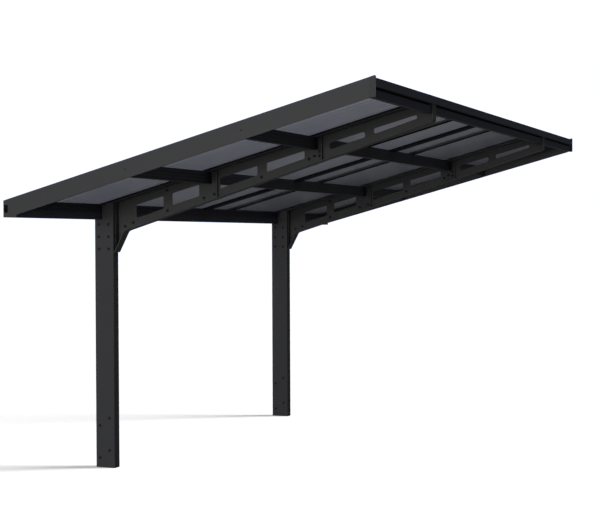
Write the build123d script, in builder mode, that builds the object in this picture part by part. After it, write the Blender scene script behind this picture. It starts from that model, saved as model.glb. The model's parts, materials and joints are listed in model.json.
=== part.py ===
from build123d import *
from math import cos, radians, tan
import os

os.makedirs("parts", exist_ok=True)

# The origin is the middle of the left post's foot. Z is up and the arms reach towards -Y.
# Side profiles are drawn as (forward, height), where forward is the distance in front of the posts.

# Layout
roof_width = 6000
roof_depth = 2900
roof_slope = 14.8
post_spacing = 3460
beam_clearance = 2020
rear_set_back = 10

# Posts and their anchor shoes
post_width = 80
post_depth = 174
post_wall = 4
post_corner = 5
shoe_base = 10
shoe_cheek = 5
shoe_height = 450
shoe_side_gap = 3
anchor_hole = 14
anchor_spacing = 90

# Rear gutter beam
gutter_height = 124
gutter_body = 80
gutter_lip = 35
gutter_wall = 3
gutter_fold = 14

# Roof edges
edge_wall = 2.5
fascia_drop = 135
fascia_top_flange = 40
fascia_ledge = 30
fascia_end_depth = 115
cap_thickness = 6
cap_groove_count = 3
cap_groove_width = 6
cap_groove_depth = 1.5
cap_corner = 9
outlet_width = 33
outlet_height = 57
outlet_from_rear = 6
outlet_above_floor = 34
trim_depth = 49
trim_height = 57
trim_top_drop = 19
trim_wall = 3

# Front beam under the trim
front_beam_depth = 43
front_beam_height = 52
front_beam_neck = 16
front_beam_neck_depth = 14
front_beam_set_back = 20
front_beam_wall = 3

# Twin-wall sheets and the bars that hold them
sheet_cover = 14
sheet_thickness = 16
sheet_side_gap = 3
sheet_rear_gap = 30
sheet_front_entry = 12
bar_stem = 10
bar_cap_width = 60
bar_cap_thickness = 4
bar_foot_width = 24
bar_foot_thickness = 6
bar_gap = 2
rafter_width = 150
rafter_depth = 12
rafter_wall = 3

# Arms: a channel as wide as the post, with its web lapped on the post's far side
arm_web = 5
arm_flange = 5
arm_root_depth = 268
arm_tip_depth = 168
arm_front_gap = 11
root_plate_drop = 267
root_ledge = 12
knee_run = 92
knee_radius = 40
tip_radius = 22
seam_shares = (0.336, 0.666)
seam_gap = 0.4
seam_flange_depth = 22
root_flange_depth = 45

# Arm slots, two in each segment: solid stretch before, first slot, bridge, solid stretch after
slot_layout = ((172, 249, 80, 164), (20, 326, 79, 148), (58, 289, 70, 146))
slot_top_depth = 70
slot_root_bottom = 178
slot_tip_bottom = 99.5
slot_corners = ((9, 9), (9, 9), (18, 13))

# Purlins
purlin_width = 45
purlin_wall = 3
bead_count = 3
bead_height = 6
bead_proud = 1.5
purlin_seam_gaps = (53, 37)
purlin_rise = 10
cope_gap = 0.5

# Places worked out from the sizes above
rise = tan(radians(roof_slope))
slant = cos(radians(roof_slope))
roof_left = (post_spacing - roof_width) / 2
roof_right = roof_left + roof_width
roof_rear = -(post_depth / 2 + rear_set_back)
roof_front = roof_rear + roof_depth
eaves_top = beam_clearance + gutter_height
sheet_top = sheet_cover
sheet_bottom = sheet_cover + sheet_thickness / slant
arm_roots = (post_width / 2, post_spacing + post_width / 2)
arm_front = roof_front - arm_front_gap
trim_rear = roof_front - trim_depth
lip_front = roof_rear + gutter_body + gutter_lip
front_beam_front = roof_front - front_beam_set_back
front_beam_rear = front_beam_front - front_beam_depth
root_bottom = beam_clearance - root_plate_drop
arm_reach = arm_front - post_depth / 2
joints = [post_depth / 2 + arm_reach * share for share in (0, *seam_shares, 1)]
slots = [
    (start + before, start + before + first, start + before + first + bridge, end - after)
    for start, end, (before, first, bridge, after) in zip(joints, joints[1:], slot_layout)
]
purlin_depth = fascia_drop - purlin_rise - sheet_bottom
purlin_positions = [seam - gap for seam, gap in zip(joints[1:], purlin_seam_gaps)]


def roof_height(forward, drop=0):
    """Height of the roof's top line, or of a line that runs a given drop under it."""
    return eaves_top + (forward - roof_rear) * rise - drop


trim_top = roof_height(roof_front, trim_top_drop)
trim_bottom = trim_top - trim_height


def side(x):
    """Plane of a side profile: drawn as (forward, height), extruded towards -X."""
    return Plane(origin=(x, 0, 0), x_dir=(0, -1, 0), z_dir=(-1, 0, 0))


def near_side(x_outer, inward, width):
    """The +X face of a layer that lies inwards of an outer face."""
    return max(x_outer, x_outer + inward * width)


def outline(plane, *points):
    """A closed straight-sided profile."""
    with BuildSketch(plane) as profile:
        with BuildLine():
            Polyline(*points, close=True)
        make_face()
    return profile.sketch


def band(x, start, end, drop_from, drop_to):
    """A strip that runs along the roof, between two drops under its top line."""
    return outline(
        side(x),
        (start, roof_height(start, drop_from)),
        (end, roof_height(end, drop_from)),
        (end, roof_height(end, drop_to)),
        (start, roof_height(start, drop_to)),
    )


def save(part, name):
    """Names a finished piece and writes it."""
    part.label = name
    export_step(part, f"parts/{name}.step")


# Posts: rectangular tubes, cut to the slope under the sheets
def make_post(x):
    head = roof_height(0, sheet_bottom)
    with BuildPart() as post:
        with BuildSketch() as tube:
            with Locations((x, 0)):
                RectangleRounded(post_width, post_depth, post_corner)
                Rectangle(post_width - 2 * post_wall, post_depth - 2 * post_wall, mode=Mode.SUBTRACT)
        extrude(amount=head + post_depth)
        split(bisect_by=Plane(origin=(x, 0, head), z_dir=(0, rise, 1)), keep=Keep.BOTTOM)
    return post.part


# Anchor shoes: a foot plate with two cheeks, held inside the post
def make_shoe(x):
    inside_width = post_width - 2 * post_wall
    inside_depth = post_depth - 2 * post_wall - 2 * shoe_side_gap
    with BuildPart() as shoe:
        with BuildSketch():
            with Locations((x, 0)):
                Rectangle(inside_width, inside_depth)
        extrude(amount=shoe_height)
        with BuildSketch(Plane.XY.offset(shoe_base)):
            with Locations((x, 0)):
                Rectangle(inside_width - 2 * shoe_cheek, inside_depth)
        extrude(amount=shoe_height, mode=Mode.SUBTRACT)
        with Locations((x, 0, shoe_base)):
            with GridLocations(0, anchor_spacing, 1, 2):
                Hole(anchor_hole / 2, depth=shoe_base)
    return shoe.part


# Arms: three tapered channel segments each, slotted through the web and open on the near side
def arm_depth(forward):
    share = (forward - joints[0]) / arm_reach
    return arm_root_depth + (arm_tip_depth - arm_root_depth) * share


def arm_top(forward):
    return roof_height(forward, sheet_bottom)


def arm_bottom(forward):
    return arm_top(forward) - arm_depth(forward)


def slot_bottom(forward):
    share = (forward - slots[0][0]) / (slots[-1][-1] - slots[0][0])
    return arm_top(forward) - slot_root_bottom - (slot_tip_bottom - slot_root_bottom) * share


def arm_plate(inset=0):
    """The whole arm's side outline, with its knee, or the same outline moved inwards."""
    ledge_front = post_depth / 2 + root_ledge
    knee_front = ledge_front + knee_run
    with BuildSketch() as plate:
        with BuildLine():
            Polyline(
                (-post_depth / 2, root_bottom),
                (ledge_front, root_bottom),
                (knee_front, arm_bottom(knee_front)),
                (arm_front, arm_bottom(arm_front)),
                (arm_front, trim_bottom),
                (trim_rear, trim_bottom),
                (trim_rear, arm_top(trim_rear)),
                (-post_depth / 2, arm_top(-post_depth / 2)),
                close=True,
            )
        make_face()
        fillet(plate.vertices().filter_by(lambda v: abs(v.X - knee_front) < 1), knee_radius)
        tip_corners = plate.vertices().filter_by(lambda v: abs(v.X - arm_front) < 1)
        fillet(tip_corners.sort_by(Axis.Y)[0], tip_radius)
        if inset:
            offset(amount=-inset)
    return plate.sketch


def arm_stretch(start, end):
    """A tall rectangle that covers one stretch of the arm."""
    with BuildSketch() as stretch:
        with Locations(((start + end) / 2, eaves_top)):
            Rectangle(end - start, 2 * roof_depth)
    return stretch.sketch


def arm_segment(x, number):
    at_root, at_tip = number == 0, number == 2
    rim_start = joints[number] + (0 if at_root else seam_gap / 2)
    start = -post_depth / 2 if at_root else rim_start
    end = joints[number + 1] - (0 if at_tip else seam_gap / 2)
    end_flanges = [(rim_start, root_flange_depth if at_root else seam_flange_depth)]
    if not at_tip:
        end_flanges.append((end - arm_flange, seam_flange_depth))
    with BuildPart() as segment:
        with BuildSketch(side(x + arm_web)):
            add(arm_plate())
            add(arm_stretch(start, end), mode=Mode.INTERSECT)
        extrude(amount=arm_web)
        with BuildSketch(side(x)):
            add(arm_plate())
            add(arm_plate(arm_flange), mode=Mode.SUBTRACT)
            add(arm_stretch(rim_start, end), mode=Mode.INTERSECT)
        extrude(amount=post_width)
        for first, depth in end_flanges:
            with BuildSketch(side(x)):
                add(arm_plate())
                add(arm_stretch(first, first + arm_flange), mode=Mode.INTERSECT)
            extrude(amount=depth)
        for first, last, corner in zip(slots[number][::2], slots[number][1::2], slot_corners[number]):
            with BuildSketch(side(x + arm_web)):
                with BuildLine():
                    Polyline(
                        (first, arm_top(first) - slot_top_depth),
                        (last, arm_top(last) - slot_top_depth),
                        (last, slot_bottom(last)),
                        (first, slot_bottom(first)),
                        close=True,
                    )
                face = make_face()
                fillet(face.vertices(), corner)
            extrude(amount=arm_web, mode=Mode.SUBTRACT)
    return segment.part


def beaded_edge(forward, height, start=0):
    """Corners of the beads on an upright edge that faces forward, in the direction of its height."""
    half_bead = bead_height / 2 if height > 0 else -bead_height / 2
    corners = []
    for number in range(bead_count):
        middle = start + height * (number + 1) / (bead_count + 1)
        corners += [
            (forward, middle - half_bead),
            (forward + bead_proud, middle - half_bead),
            (forward + bead_proud, middle + half_bead),
            (forward, middle + half_bead),
        ]
    return corners


# Rear gutter beam: an open trough with a lip that carries the sheets' lower edge
def make_gutter(x_from, x_to):
    floor = beam_clearance
    inner = roof_rear + gutter_body
    with BuildPart() as gutter:
        with BuildSketch(side(x_to)):
            with BuildLine():
                Polyline(
                    (roof_rear, floor),
                    (inner, floor),
                    *beaded_edge(inner, gutter_height, floor),
                    (inner, roof_height(inner, sheet_bottom + gutter_wall)),
                    (lip_front, roof_height(lip_front, sheet_bottom + gutter_wall)),
                    (lip_front, roof_height(lip_front, sheet_bottom)),
                    (inner - gutter_wall, roof_height(inner - gutter_wall, sheet_bottom)),
                    (inner - gutter_wall, floor + gutter_wall),
                    (roof_rear + gutter_wall, floor + gutter_wall),
                    (roof_rear + gutter_wall, eaves_top - gutter_wall),
                    (roof_rear + gutter_fold, eaves_top - gutter_wall),
                    (roof_rear + gutter_fold, eaves_top),
                    (roof_rear, eaves_top),
                    close=True,
                )
            make_face()
        extrude(amount=x_to - x_from)
    return gutter.part


# Side fascias: a deep web that closes the gutter's end, with a top flange and a ledge under the sheet
def make_fascia(x_outer, inward):
    end_front = roof_rear + fascia_end_depth
    flange = edge_wall / slant

    def strip(width, start, end, drop_from, drop_to):
        x_near = near_side(x_outer, inward, width)
        extrude(band(x_near, start, end, drop_from, drop_to), amount=width)

    with BuildPart() as fascia:
        strip(edge_wall, end_front, trim_rear, 0, fascia_drop)
        strip(fascia_top_flange, end_front, trim_rear, 0, flange)
        strip(fascia_ledge, end_front, front_beam_rear, sheet_bottom, sheet_bottom + flange)
        with BuildSketch(side(near_side(x_outer, inward, edge_wall))):
            with BuildLine():
                Polyline(
                    (roof_rear, beam_clearance),
                    (end_front, beam_clearance),
                    (end_front, roof_height(end_front)),
                    (roof_rear, eaves_top),
                    close=True,
                )
            make_face()
            with Locations((roof_rear + outlet_from_rear, beam_clearance + outlet_above_floor)):
                Rectangle(outlet_width, outlet_height, align=(Align.MIN, Align.MIN), mode=Mode.SUBTRACT)
        extrude(amount=edge_wall)
    return fascia.part


# Front trim: a channel over the sheets' upper edge, open to the rear
def make_front_trim():
    with BuildPart() as trim:
        with BuildSketch(side(roof_right - cap_thickness)):
            with Locations((trim_rear, trim_bottom)):
                Rectangle(trim_depth, trim_height, align=(Align.MIN, Align.MIN))
            with Locations((trim_rear, trim_bottom + trim_wall)):
                Rectangle(
                    trim_depth - trim_wall,
                    trim_height - 2 * trim_wall,
                    align=(Align.MIN, Align.MIN),
                    mode=Mode.SUBTRACT,
                )
        extrude(amount=roof_width - 2 * cap_thickness)
    return trim.part


# Front beam: a hollow section between the arms, with a neck up to the trim and an upstand under the sheets
def make_front_beam(x_from, x_to):
    rear = front_beam_rear
    wall = front_beam_wall
    neck_bottom = trim_bottom - front_beam_neck
    chambers = (
        (trim_bottom, front_beam_neck_depth, front_beam_neck + wall),
        (neck_bottom, front_beam_depth, front_beam_height),
    )
    with BuildPart() as beam:
        with BuildSketch(side(x_to)):
            for top, depth, height in chambers:
                with Locations((rear, top)):
                    Rectangle(depth, height, align=(Align.MIN, Align.MAX))
            for top, depth, height in chambers:
                with Locations((rear + wall, top - wall)):
                    Rectangle(depth - 2 * wall, height - 2 * wall, align=(Align.MIN, Align.MAX), mode=Mode.SUBTRACT)
            with BuildLine():
                Polyline(
                    (rear, trim_bottom - wall),
                    (rear + wall, trim_bottom - wall),
                    (rear + wall, roof_height(rear + wall, sheet_bottom)),
                    (rear, roof_height(rear, sheet_bottom)),
                    close=True,
                )
            make_face()
        extrude(amount=x_to - x_from)
    return beam.part


# Front end caps: a plate on the end of the trim and the front beam, with upright grooves
def make_front_cap(x_outer, inward):
    bottom = trim_bottom - front_beam_neck - front_beam_height
    height = trim_top - bottom
    groove_pitch = trim_depth / (cap_groove_count + 1)
    with BuildPart() as cap:
        with BuildSketch(side(near_side(x_outer, inward, cap_thickness))):
            with BuildLine():
                Polyline(
                    (trim_rear, bottom),
                    (roof_front, bottom),
                    (roof_front, roof_height(roof_front)),
                    (trim_rear, roof_height(trim_rear)),
                    close=True,
                )
            face = make_face()
            fillet(face.vertices().sort_by(Axis.Y)[-1], cap_corner)
        extrude(amount=cap_thickness)
        with BuildSketch(side(near_side(x_outer, inward, cap_groove_depth))):
            with Locations((trim_rear + trim_depth / 2, bottom + height / 2)):
                with GridLocations(groove_pitch, 0, cap_groove_count, 1):
                    Rectangle(cap_groove_width, height - groove_pitch)
        extrude(amount=cap_groove_depth, mode=Mode.SUBTRACT)
    return cap.part


# Purlins: upright box sections with a sloping top and beads along the front
def make_purlin(x_from, x_to, forward, copes):
    rear = forward - purlin_width
    bottom = roof_height(forward, sheet_bottom + purlin_depth)
    wall_drop = sheet_bottom + purlin_wall / slant
    with BuildPart() as purlin:
        with BuildSketch(side(x_to)):
            with BuildLine():
                Polyline(
                    (forward, bottom),
                    *beaded_edge(forward, purlin_depth, bottom),
                    (forward, roof_height(forward, sheet_bottom)),
                    (rear, roof_height(rear, sheet_bottom)),
                    (rear, bottom),
                    close=True,
                )
            make_face()
            with BuildLine():
                Polyline(
                    (forward - purlin_wall, bottom + purlin_wall),
                    (forward - purlin_wall, roof_height(forward - purlin_wall, wall_drop)),
                    (rear + purlin_wall, roof_height(rear + purlin_wall, wall_drop)),
                    (rear + purlin_wall, bottom + purlin_wall),
                    close=True,
                )
            make_face(mode=Mode.SUBTRACT)
        extrude(amount=x_to - x_from)
        for x_far, width, depth in copes:
            drop = sheet_bottom + (depth + cope_gap) / slant
            cut = band(x_far, rear - purlin_wall, forward + purlin_wall, 0, drop)
            extrude(cut, amount=width, mode=Mode.SUBTRACT)
    return purlin.part


# Sheets: one in each side bay and three in the middle bay
def make_sheet(x_from, x_to):
    with BuildPart() as sheet:
        extrude(
            band(x_to, roof_rear + sheet_rear_gap, trim_rear + sheet_front_entry, sheet_top, sheet_bottom),
            amount=x_to - x_from,
        )
    return sheet.part


def open_stretches():
    """Where nothing lies under the sheets between the gutter's lip, the purlins and the front beam."""
    starts = (lip_front, *purlin_positions)
    ends = (*(forward - purlin_width for forward in purlin_positions), front_beam_rear)
    return list(zip(starts, ends))


# Glazing bars: a stem between two sheets under a wide cap, with a foot below the free joints
def make_bar(x, footed):
    start = roof_rear + sheet_rear_gap
    with BuildPart() as bar:
        extrude(band(x + bar_stem / 2, start, trim_rear, sheet_top, sheet_bottom), amount=bar_stem)
        cap = bar_cap_thickness / slant
        extrude(band(x + bar_cap_width / 2, start, trim_rear, sheet_top - cap, sheet_top), amount=bar_cap_width)
        if footed:
            foot = sheet_bottom + bar_foot_thickness / slant
            for first, last in open_stretches():
                extrude(
                    band(x + bar_foot_width / 2, first + bar_gap, last - bar_gap, sheet_bottom, foot),
                    amount=bar_foot_width,
                )
    return bar.part


# Centre rafter: a shallow box section under the sheets, between the purlins
def make_rafter(x):
    bottom = sheet_bottom + rafter_depth / slant
    wall = rafter_wall / slant
    hollow_width = rafter_width - 2 * rafter_wall
    with BuildPart() as rafter:
        for first, last in open_stretches():
            extrude(band(x + rafter_width / 2, first, last, sheet_bottom, bottom), amount=rafter_width)
            hollow = band(x + hollow_width / 2, first, last, sheet_bottom + wall, bottom - wall)
            extrude(hollow, amount=hollow_width, mode=Mode.SUBTRACT)
    return rafter.part


# Posts, shoes and arms
for hand, post_x, arm_x in zip(("left", "right"), (0, post_spacing), arm_roots):
    save(make_post(post_x), f"{hand}_post")
    save(make_shoe(post_x), f"{hand}_anchor_shoe")
    for number, place in enumerate(("root", "middle", "tip")):
        save(arm_segment(arm_x, number), f"{hand}_arm_{place}")

# Lengthwise pieces, bay by bay
web_backs = [x + arm_web for x in arm_roots]
inner_left = roof_left + cap_thickness
inner_right = roof_right - cap_thickness
fascia_left = inner_left - edge_wall
fascia_right = inner_right + edge_wall
post_faces = [x - post_width / 2 for x in (0, post_spacing)]
bays = ("left", "middle", "right")

for bay, x_from, x_to in zip(bays, (inner_left, *web_backs), (*post_faces, inner_right)):
    save(make_gutter(x_from, x_to), f"rear_gutter_{bay}")
    save(make_front_beam(x_from, x_to), f"front_beam_{bay}")

left_ledge = (fascia_left + fascia_ledge + cope_gap, fascia_ledge, edge_wall)
right_ledge = (fascia_right, fascia_ledge + cope_gap, edge_wall)
arm_copes = [(x, post_width + cope_gap, arm_flange) for x in arm_roots]
purlin_copes = ([left_ledge, arm_copes[0]], [arm_copes[1]], [right_ledge])
for line, forward in zip(("lower", "upper"), purlin_positions):
    starts = (inner_left, *web_backs)
    ends = (*arm_roots, inner_right)
    for bay, x_from, x_to, copes in zip(bays, starts, ends, purlin_copes):
        save(make_purlin(x_from, x_to, forward, copes), f"{line}_purlin_{bay}")

# Roof edges
save(make_front_trim(), "front_trim")
save(make_fascia(fascia_left, 1), "left_fascia")
save(make_fascia(fascia_right, -1), "right_fascia")
save(make_front_cap(roof_left, 1), "front_left_end_cap")
save(make_front_cap(roof_right, -1), "front_right_end_cap")

# Sheets and bars
arm_middles = [x - post_width / 2 for x in arm_roots]
third = (arm_middles[1] - arm_middles[0]) / 3
joint_lines = [arm_middles[0] + third * step for step in range(4)]
side_clear = bar_stem / 2 + sheet_side_gap
sheet_names = ("left", "middle_left", "middle", "middle_right", "right")
sheet_starts = [inner_left + sheet_side_gap] + [x + side_clear for x in joint_lines]
sheet_ends = [x - side_clear for x in joint_lines] + [inner_right - sheet_side_gap]
for name, x_from, x_to in zip(sheet_names, sheet_starts, sheet_ends):
    save(make_sheet(x_from, x_to), f"{name}_roof_sheet")

bar_names = ("left_arm", "middle_left", "middle_right", "right_arm")
for name, x in zip(bar_names, joint_lines):
    save(make_bar(x, name.startswith("middle")), f"{name}_glazing_bar")

save(make_rafter(roof_left + roof_width / 2), "centre_rafter")
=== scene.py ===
import json
import math

import bmesh
import bpy
from mathutils import Matrix, Vector


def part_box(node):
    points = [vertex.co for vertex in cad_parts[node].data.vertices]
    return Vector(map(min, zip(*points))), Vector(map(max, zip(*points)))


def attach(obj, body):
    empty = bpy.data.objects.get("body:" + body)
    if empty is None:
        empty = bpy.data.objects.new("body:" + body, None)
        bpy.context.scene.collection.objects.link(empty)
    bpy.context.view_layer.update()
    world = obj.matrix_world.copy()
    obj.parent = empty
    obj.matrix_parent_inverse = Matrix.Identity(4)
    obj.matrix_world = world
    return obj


# Metres, in the CAD model's frame: +X towards the right post, -Y out along the arms, +Z up
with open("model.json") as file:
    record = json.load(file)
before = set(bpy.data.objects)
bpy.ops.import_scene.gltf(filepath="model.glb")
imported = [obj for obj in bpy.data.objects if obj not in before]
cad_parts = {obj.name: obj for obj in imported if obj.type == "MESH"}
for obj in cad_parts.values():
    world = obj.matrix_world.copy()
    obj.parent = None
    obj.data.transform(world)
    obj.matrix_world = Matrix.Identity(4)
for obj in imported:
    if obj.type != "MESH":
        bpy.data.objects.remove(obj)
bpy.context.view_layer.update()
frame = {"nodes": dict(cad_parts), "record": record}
nodes = frame["nodes"]
scene = bpy.context.scene

MM = 0.001

# The photograph's own camera: its place, then its yaw, pitch and roll in degrees
CAMERA_PLACE = (-9.425, -5.797, 1.844)
CAMERA_TURN = (66.590, -0.987, -0.2265)
LENS_MM = 80.62
SENSOR_MM = 36


def place_camera():
    """Yaw turns from +Y towards +X, pitch lifts the line of sight, and roll turns the picture about it."""
    yaw, pitch, roll = (math.radians(angle) for angle in CAMERA_TURN)
    ahead = Vector((math.sin(yaw) * math.cos(pitch), math.cos(yaw) * math.cos(pitch), math.sin(pitch)))
    level = Vector((math.cos(yaw), -math.sin(yaw), 0))
    upright = level.cross(ahead)
    right = level * math.cos(roll) + upright * math.sin(roll)
    up = upright * math.cos(roll) - level * math.sin(roll)
    camera = bpy.data.objects.new("photo_camera", bpy.data.cameras.new("photo_camera"))
    camera.data.lens = LENS_MM
    camera.data.sensor_width = SENSOR_MM
    # Past the floor's farthest corner
    camera.data.clip_end = 200
    turn = Matrix((right, up, -ahead)).transposed().to_4x4()
    camera.matrix_world = Matrix.Translation(CAMERA_PLACE) @ turn
    scene.collection.objects.link(camera)
    scene.camera = camera


place_camera()
scene.view_settings.view_transform = "Standard"


# Colour and node helpers
def colour(hex_code, strength=1.0):
    """An sRGB hex colour as the linear numbers that shaders work in, lightened or darkened by a factor."""
    channels = [int(hex_code[i:i + 2], 16) / 255 for i in (1, 3, 5)]
    linear = [c / 12.92 if c <= 0.04045 else ((c + 0.055) / 1.055) ** 2.4 for c in channels]
    return [c * strength for c in linear] + [1.0]


def add_node(tree, kind, settings=None, **links):
    """Adds a node, sets its attributes or sockets, and links its inputs by name, or by number as i0 or i1.

    A colour Mix has its two colours in inputs 6 and 7 and its result in output 2.
    """
    made = tree.nodes.new(kind)
    for key, value in (settings or {}).items():
        if isinstance(key, int) or key in made.inputs:
            made.inputs[key].default_value = value
        else:
            setattr(made, key, value)
    for name, source in links.items():
        spot = int(name[1:]) if name[0] == "i" and name[1:].isdigit() else name.replace("_", " ")
        tree.links.new(made.inputs[spot], source)
    return made


def new_material(name):
    made = bpy.data.materials.new(name)
    made.use_nodes = True
    made.node_tree.nodes.clear()
    return made, made.node_tree


def finish_material(tree, shader):
    add_node(tree, "ShaderNodeOutputMaterial", Surface=shader.outputs["BSDF"])


# Powder-coated aluminium: a baked-on satin film with a fine grain, thinner and lighter on the sharp edges,
# where a painted highlight is added too. It looks dull and even, and a little cloudy
def powder_coat(name, film, edge, roughness, gloss, painted_shade=0.0):
    made, tree = new_material(name)
    place = add_node(tree, "ShaderNodeTexCoord").outputs["Object"]
    # The real grain is about 0.3 mm, too fine for the picture, so it is drawn at 6 mm
    grain = add_node(tree, "ShaderNodeTexNoise", {"Scale": 1 / (6 * MM), "Detail": 3.0}, Vector=place)
    # The film's thickness drifts about twice in a metre
    clouds = add_node(tree, "ShaderNodeTexNoise", {"Scale": 2.2, "Detail": 2.0, "Roughness": 0.6},
                      Vector=place)
    # On an edge the rounded normal leaves the flat one, and there the colour turns to the edge colour: partly
    # worn film, partly a painted highlight
    rounded = add_node(tree, "ShaderNodeBevel", {"samples": 4, "Radius": 2.2 * MM})
    flat = add_node(tree, "ShaderNodeNewGeometry")
    facing = add_node(tree, "ShaderNodeVectorMath", {"operation": "DOT_PRODUCT"},
                      i0=rounded.outputs["Normal"], i1=flat.outputs["True Normal"])
    wear_and_highlight = add_node(tree, "ShaderNodeMapRange", {"From Min": 0.995, "From Max": 0.80},
                    Value=facing.outputs["Value"])
    shades = add_node(tree, "ShaderNodeMix",
                      {"data_type": "RGBA", 6: colour(film, 0.88), 7: colour(film, 1.12)},
                      i0=clouds.outputs["Fac"])
    tint = add_node(tree, "ShaderNodeMix", {"data_type": "RGBA", 7: colour(edge)},
                    i0=wear_and_highlight.outputs["Result"], i6=shades.outputs[2])
    # Painted shade: the colour darkens where nearby surfaces close in, as inside the gutter and between parts
    corners = add_node(tree, "ShaderNodeAmbientOcclusion", {"samples": 8, "Distance": 120 * MM})
    shade_factor = add_node(tree, "ShaderNodeMapRange", {"From Min": 0.25, "From Max": 0.6, "To Min": 1 - painted_shade},
                     Value=corners.outputs["AO"])
    shaded_tint = add_node(tree, "ShaderNodeMix", {"data_type": "RGBA", "blend_type": "MULTIPLY", 0: 1.0},
                     i6=tint.outputs[2], i7=shade_factor.outputs["Result"])
    satin = add_node(tree, "ShaderNodeMapRange", {"To Min": roughness - 0.05, "To Max": roughness + 0.07},
                     Value=clouds.outputs["Fac"])
    bump = add_node(tree, "ShaderNodeBump", {"Strength": 0.12, "Distance": 0.4 * MM},
                    Height=grain.outputs["Fac"], Normal=rounded.outputs["Normal"])
    shader = add_node(tree, "ShaderNodeBsdfPrincipled", {"Specular IOR Level": gloss, "IOR": 1.5},
                      Base_Color=shaded_tint.outputs[2], Roughness=satin.outputs["Result"],
                      Normal=bump.outputs["Normal"])
    finish_material(tree, shader)
    return made


# Twin-wall polycarbonate, extruded and smoked: two skins with upright walls between them, which show as fine
# ribs against the sky
def twin_wall_polycarbonate(name, smoke, clarity, wall_cover):
    made, tree = new_material(name)
    place = add_node(tree, "ShaderNodeTexCoord").outputs["Object"]
    across = add_node(tree, "ShaderNodeSeparateXYZ", Vector=place)
    # The real walls stand about 8 mm apart. Every sixth is drawn, at 48 mm, so that the picture can hold
    # them, and every twelfth a little stronger, at 96 mm. A rib's half width is a share of its pitch
    walls = []
    for pitch_mm, half_width in ((48, 0.20), (96, 0.16)):
        steps = add_node(tree, "ShaderNodeMath", {"operation": "MULTIPLY", 1: 1 / (pitch_mm * MM)},
                         i0=across.outputs["X"])
        part = add_node(tree, "ShaderNodeMath", {"operation": "PINGPONG", 1: 0.5}, i0=steps.outputs["Value"])
        profile = {"interpolation_type": "SMOOTHSTEP", "From Min": half_width, "From Max": half_width / 4}
        walls.append(add_node(tree, "ShaderNodeMapRange", profile, Value=part.outputs["Value"]))
    wall = add_node(tree, "ShaderNodeMath", {"operation": "ADD"},
                    i0=walls[0].outputs["Result"], i1=walls[1].outputs["Result"])
    # The extruder leaves faint streaks in the skins, about 140 mm wide and several metres long
    lengthwise = add_node(tree, "ShaderNodeMapping", {"Scale": (7.0, 0.15, 0.0)}, Vector=place)
    streaks = add_node(tree, "ShaderNodeTexNoise", {"Scale": 1.0, "Detail": 3.0},
                       Vector=lengthwise.outputs["Vector"])
    streak = add_node(tree, "ShaderNodeMapRange", {"To Min": -0.03, "To Max": 0.03},
                      Value=streaks.outputs["Fac"])
    # A flat look along the sheet passes through more plastic and more walls, so it covers more
    slanting = add_node(tree, "ShaderNodeLayerWeight", {"Blend": 0.5})
    skin = add_node(tree, "ShaderNodeMapRange", {"From Min": 0.69, "To Min": 1 - clarity, "To Max": 1.085},
                    Value=slanting.outputs["Facing"])
    streaked = add_node(tree, "ShaderNodeMath", {"operation": "ADD"},
                        i0=skin.outputs["Result"], i1=streak.outputs["Result"])
    cover = add_node(tree, "ShaderNodeMath", {"operation": "MULTIPLY_ADD", 1: wall_cover, "use_clamp": True},
                     i0=wall.outputs["Value"], i2=streaked.outputs["Value"])
    bump = add_node(tree, "ShaderNodeBump", {"Strength": 0.15, "Distance": 0.5 * MM},
                    Height=wall.outputs["Value"])
    skins = {"Base Color": colour(smoke), "IOR": 1.585, "Specular IOR Level": 0.15, "Roughness": 0.35}
    shader = add_node(tree, "ShaderNodeBsdfPrincipled", skins,
                      Alpha=cover.outputs["Value"], Normal=bump.outputs["Normal"])
    finish_material(tree, shader)
    return made


# Moulded polypropylene: a fine spark-eroded texture that makes it look slightly waxy
def moulded_polypropylene(name, body):
    made, tree = new_material(name)
    place = add_node(tree, "ShaderNodeTexCoord").outputs["Object"]
    # The mould's texture is about 0.2 mm and is drawn at 4 mm
    texture = add_node(tree, "ShaderNodeTexNoise", {"Scale": 1 / (4 * MM), "Detail": 4.0}, Vector=place)
    tint = add_node(tree, "ShaderNodeMix", {"data_type": "RGBA", 6: colour(body), 7: colour(body, 1.25)},
                    i0=texture.outputs["Fac"])
    rough = add_node(tree, "ShaderNodeMapRange", {"To Min": 0.5, "To Max": 0.65},
                     Value=texture.outputs["Fac"])
    rounded = add_node(tree, "ShaderNodeBevel", {"samples": 4, "Radius": 1.0 * MM})
    bump = add_node(tree, "ShaderNodeBump", {"Strength": 0.2, "Distance": 0.3 * MM},
                    Height=texture.outputs["Fac"], Normal=rounded.outputs["Normal"])
    shader = add_node(tree, "ShaderNodeBsdfPrincipled", {"IOR": 1.49, "Specular IOR Level": 0.3},
                      Base_Color=tint.outputs[2], Roughness=rough.outputs["Result"],
                      Normal=bump.outputs["Normal"])
    finish_material(tree, shader)
    return made


# Hot-dip galvanised steel: a grey zinc skin whose crystals, about 12 mm across, glint one by one
def galvanised_steel(name, zinc):
    made, tree = new_material(name)
    place = add_node(tree, "ShaderNodeTexCoord").outputs["Object"]
    crystals = add_node(tree, "ShaderNodeTexVoronoi", {"Scale": 1 / (12 * MM)}, Vector=place)
    grey = add_node(tree, "ShaderNodeSeparateColor", Color=crystals.outputs["Color"])
    tint = add_node(tree, "ShaderNodeMix", {"data_type": "RGBA", 6: colour(zinc), 7: colour(zinc, 1.3)},
                    i0=grey.outputs["Red"])
    rough = add_node(tree, "ShaderNodeMapRange", {"To Min": 0.32, "To Max": 0.5}, Value=grey.outputs["Red"])
    shader = add_node(tree, "ShaderNodeBsdfPrincipled", {"Metallic": 1.0}, Base_Color=tint.outputs[2],
                      Roughness=rough.outputs["Result"])
    finish_material(tree, shader)
    return made


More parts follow.
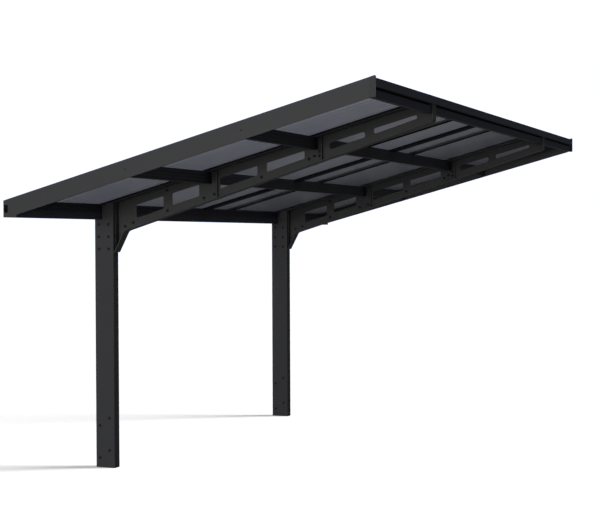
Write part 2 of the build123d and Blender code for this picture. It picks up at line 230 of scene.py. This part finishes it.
# Zinc-flake coated steel: a thin near-black film that dries dull, in patches about 5 mm wide
def coated_bolt_steel(name, film):
    made, tree = new_material(name)
    place = add_node(tree, "ShaderNodeTexCoord").outputs["Object"]
    patches = add_node(tree, "ShaderNodeTexNoise", {"Scale": 1 / (5 * MM), "Detail": 3.0}, Vector=place)
    tint = add_node(tree, "ShaderNodeMix", {"data_type": "RGBA", 6: colour(film), 7: colour(film, 1.5)},
                    i0=patches.outputs["Fac"])
    rough = add_node(tree, "ShaderNodeMapRange", {"To Min": 0.5, "To Max": 0.7}, Value=patches.outputs["Fac"])
    shader = add_node(tree, "ShaderNodeBsdfPrincipled", {"Specular IOR Level": 0.25},
                      Base_Color=tint.outputs[2], Roughness=rough.outputs["Result"])
    finish_material(tree, shader)
    return made


# Copies of one black powder coat whose film colours are lighter or darker by piece, as painted light and
# shade: lighter for the arms and fascias, darker for the edging, sections and bars; the posts' light edge
# colour paints the highlight on their rounded corners
post_coat = powder_coat(
    "black_powder_coated_posts", film="#353537", edge="#5c5c64", roughness=0.66, gloss=0.25)
arm_coat = powder_coat(
    "black_powder_coated_arms", film="#3c3c3b", edge="#4c4c4c", roughness=0.62, gloss=0.25, painted_shade=0.6)
fascia_coat = powder_coat(
    "black_powder_coated_fascias", film="#373738", edge="#48484a", roughness=0.62, gloss=0.25)
edge_coat = powder_coat(
    "black_powder_coated_edging", film="#282932", edge="#353640", roughness=0.6, gloss=0.25, painted_shade=0.9)
section_coat = powder_coat(
    "black_powder_coated_sections", film="#181a21", edge="#262934", roughness=0.55, gloss=0.3)
bar_coat = powder_coat(
    "black_powder_coated_bars", film="#0e0f15", edge="#16171d", roughness=0.7, gloss=0.05)
sheet_plastic = twin_wall_polycarbonate(
    "smoked_twin_wall_polycarbonate", smoke="#202125", clarity=0.655, wall_cover=0.13)
cap_plastic = moulded_polypropylene("moulded_black_polypropylene", body="#2b2b2d")
shoe_steel = galvanised_steel("hot_dip_galvanised_steel", zinc="#8d9092")
bolt_steel = coated_bolt_steel("black_zinc_flake_steel", film="#131314")

slot_finishes = {
    "frame_black": arm_coat,
    "edge_black": edge_coat,
    "section_black": section_coat,
    "smoked_sheet": sheet_plastic,
    "end_cap_plastic": cap_plastic,
    "anchor_steel": shoe_steel,
}
# Pieces that take a lighter or darker copy of the coat than the rest of their slot, as painted light and
# shade, by the last word of their name
lit_and_shaded_coats = {"post": post_coat, "fascia": fascia_coat, "rafter": bar_coat, "bar": bar_coat}
for row in frame["record"]["subparts"]:
    kind = row["node"].rsplit("_", 1)[-1]
    surface = nodes[row["node"]].data.materials
    surface.clear()
    surface.append(lit_and_shaded_coats.get(kind, slot_finishes[row["material_slot"]]))


# Bolt and screw heads, turned, and joined into one piece for each face that carries them
def add_turned(shape, profile, foot, facing, sides=20):
    """Adds a solid of revolution: profile is a list of (radius, height) from the foot to the crown, in mm."""
    tilt = facing.to_track_quat("Z", "Y").to_matrix().to_4x4()
    rings = []
    for radius, height in profile:
        ring = []
        for step in range(sides):
            angle = 2 * math.pi * step / sides
            point = Vector((radius * math.cos(angle), radius * math.sin(angle), height)) * MM
            ring.append(shape.verts.new(foot + tilt @ point))
        rings.append(ring)
    for low, high in zip(rings, rings[1:]):
        for step in range(sides):
            after = (step + 1) % sides
            shape.faces.new((low[step], low[after], high[after], high[step]))
    shape.faces.new(list(reversed(rings[0])))
    shape.faces.new(rings[-1])


# M12 dome bolts on their washers, and M6 button screws
DOME_BOLT = [(12, 0), (12, 1.6), (11.2, 2.2), (9.0, 2.2), (8.8, 3.8), (7.8, 5.4), (5.6, 6.6), (3.0, 7.2)]
BUTTON_SCREW = [(6, 0), (6, 0.8), (5.2, 2.0), (3.4, 2.7), (1.8, 2.9)]


def add_bolts(name, x, places, facing, profile=DOME_BOLT):
    """Adds heads on the upright face at x, at places on it given as (y, z) in mm."""
    shape = bmesh.new()
    for y, z in places:
        add_turned(shape, profile, Vector((x, y * MM, z * MM)), facing)
    mesh = bpy.data.meshes.new(name)
    shape.to_mesh(mesh)
    shape.free()
    for polygon in mesh.polygons:
        polygon.use_smooth = len(polygon.vertices) == 4
    mesh.materials.append(bolt_steel)
    piece = bpy.data.objects.new(name, mesh)
    scene.collection.objects.link(piece)
    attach(piece, "root")


LEFTWARDS = Vector((-1, 0, 0))
RIGHTWARDS = Vector((1, 0, 0))
POST_HEAD_PLACES = [(y, z) for z in (1980, 1880, 1780) for y in (-42, 48)]
POST_FOOT_PLACES = [(-42, 405), (50, 343), (-42, 142), (50, 80)]
ARM_PLACES = [(-153, 1965), (-229, 1994), (-542, 2249), (-545, 2087), (-873, 2182), (-964, 2211),
              (-1377, 2336), (-1778, 2465), (-1822, 2487), (-1865, 2487), (-1865, 2521)]
FASCIA_PLACES = [(-933, 2348), (-1836, 2588)]

for hand in ("left", "right"):
    post_left, post_right = (corner.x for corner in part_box(f"{hand}_post"))
    # The arm's web lies flat on the post's right face, so its left face has the same x
    web_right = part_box(f"{hand}_arm_root")[1].x
    add_bolts(f"{hand}_post_bolts", post_left, POST_HEAD_PLACES + POST_FOOT_PLACES, LEFTWARDS)
    add_bolts(f"{hand}_post_far_bolts", post_right, POST_FOOT_PLACES, RIGHTWARDS)
    add_bolts(f"{hand}_web_far_bolts", web_right, POST_HEAD_PLACES + ARM_PLACES, RIGHTWARDS)
    add_bolts(f"{hand}_arm_bolts", post_right, ARM_PLACES, LEFTWARDS)
add_bolts("left_fascia_bolts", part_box("left_fascia")[0].x, FASCIA_PLACES, LEFTWARDS, BUTTON_SCREW)
add_bolts("right_fascia_bolts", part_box("right_fascia")[1].x, FASCIA_PLACES, RIGHTWARDS, BUTTON_SCREW)


# Plain floor, backdrop and soft light
FLOOR_REACH = 90


def by_view(tree, for_light, for_camera):
    """One value for the light that the scene gives, another for what the camera sees."""
    seen = add_node(tree, "ShaderNodeLightPath")
    return add_node(tree, "ShaderNodeMapRange", {"To Min": for_light, "To Max": for_camera},
                    Value=seen.outputs["Is Camera Ray"]).outputs["Result"]


def add_floor():
    """White paper out to FLOOR_REACH on every side, where it can't be told from the backdrop.

    It throws little light back, so that the undersides stay dark, but looks white itself.
    """
    shape = bmesh.new()
    bmesh.ops.create_grid(shape, x_segments=1, y_segments=1, size=FLOOR_REACH)
    mesh = bpy.data.meshes.new("studio_floor")
    shape.to_mesh(mesh)
    shape.free()
    floor = bpy.data.objects.new("studio_floor", mesh)
    scene.collection.objects.link(floor)
    made, tree = new_material("studio_floor")
    paper = add_node(tree, "ShaderNodeBsdfDiffuse", Color=by_view(tree, 0.07, 0.3))
    glow = add_node(tree, "ShaderNodeEmission", {"Color": (1, 1, 1, 1)}, Strength=by_view(tree, 0.0, 0.43))
    both = add_node(tree, "ShaderNodeAddShader", i0=paper.outputs["BSDF"], i1=glow.outputs["Emission"])
    add_node(tree, "ShaderNodeOutputMaterial", Surface=both.outputs["Shader"])
    mesh.materials.append(made)
    return floor


def add_backdrop():
    """A white sky that gives a little cool light."""
    world = bpy.data.worlds.new("white_backdrop")
    scene.world = world
    world.use_nodes = True
    tree = world.node_tree
    tree.nodes.clear()
    sky = add_node(tree, "ShaderNodeBackground", {"Color": (0.90, 0.94, 1.12, 1)},
                   Strength=by_view(tree, 0.11, 1.13))
    add_node(tree, "ShaderNodeOutputWorld", Surface=sky.outputs["Background"])


def add_light(lamp, place, direction, floor, link_state):
    """Places a lamp that lights the floor alone (INCLUDE) or everything but the floor (EXCLUDE)."""
    light = bpy.data.objects.new(lamp.name, lamp)
    light.location = place
    light.rotation_mode = "QUATERNION"
    light.rotation_quaternion = direction.to_track_quat("-Z", "Y")
    scene.collection.objects.link(light)
    receivers = bpy.data.collections.new(f"{lamp.name}_receivers")
    receivers.objects.link(floor)
    receivers.collection_objects[0].light_linking.link_state = link_state
    light.light_linking.receiver_collection = receivers


def add_floor_sun(floor):
    """A low soft sun that draws the posts' long shadows on the floor."""
    lamp = bpy.data.lights.new("floor_sun", "SUN")
    lamp.energy = 30
    lamp.angle = math.radians(24)
    add_light(lamp, (0, 0, 5), Vector((-0.44, 0.87, -0.21)), floor, "INCLUDE")


def add_softbox(name, floor, place, target, size, watts):
    """A large soft light on the carport."""
    lamp = bpy.data.lights.new(name, "AREA")
    lamp.shape = "RECTANGLE"
    lamp.size, lamp.size_y = size
    lamp.energy = watts
    add_light(lamp, place, Vector(target) - Vector(place), floor, "EXCLUDE")


paper_floor = add_floor()
add_backdrop()
add_floor_sun(paper_floor)
add_softbox("side_softbox", paper_floor, (-14, -1.0, 2.3), target=(0, -1.0, 2.0), size=(11, 3.2), watts=1290)
add_softbox("top_softbox", paper_floor, (1.7, -1.4, 9), target=(1.7, -1.4, 0), size=(8, 6), watts=1200)
add_softbox("rear_softbox", paper_floor, (9, 11, 3.5), target=(2.5, 0, 1.8), size=(6, 2), watts=900)
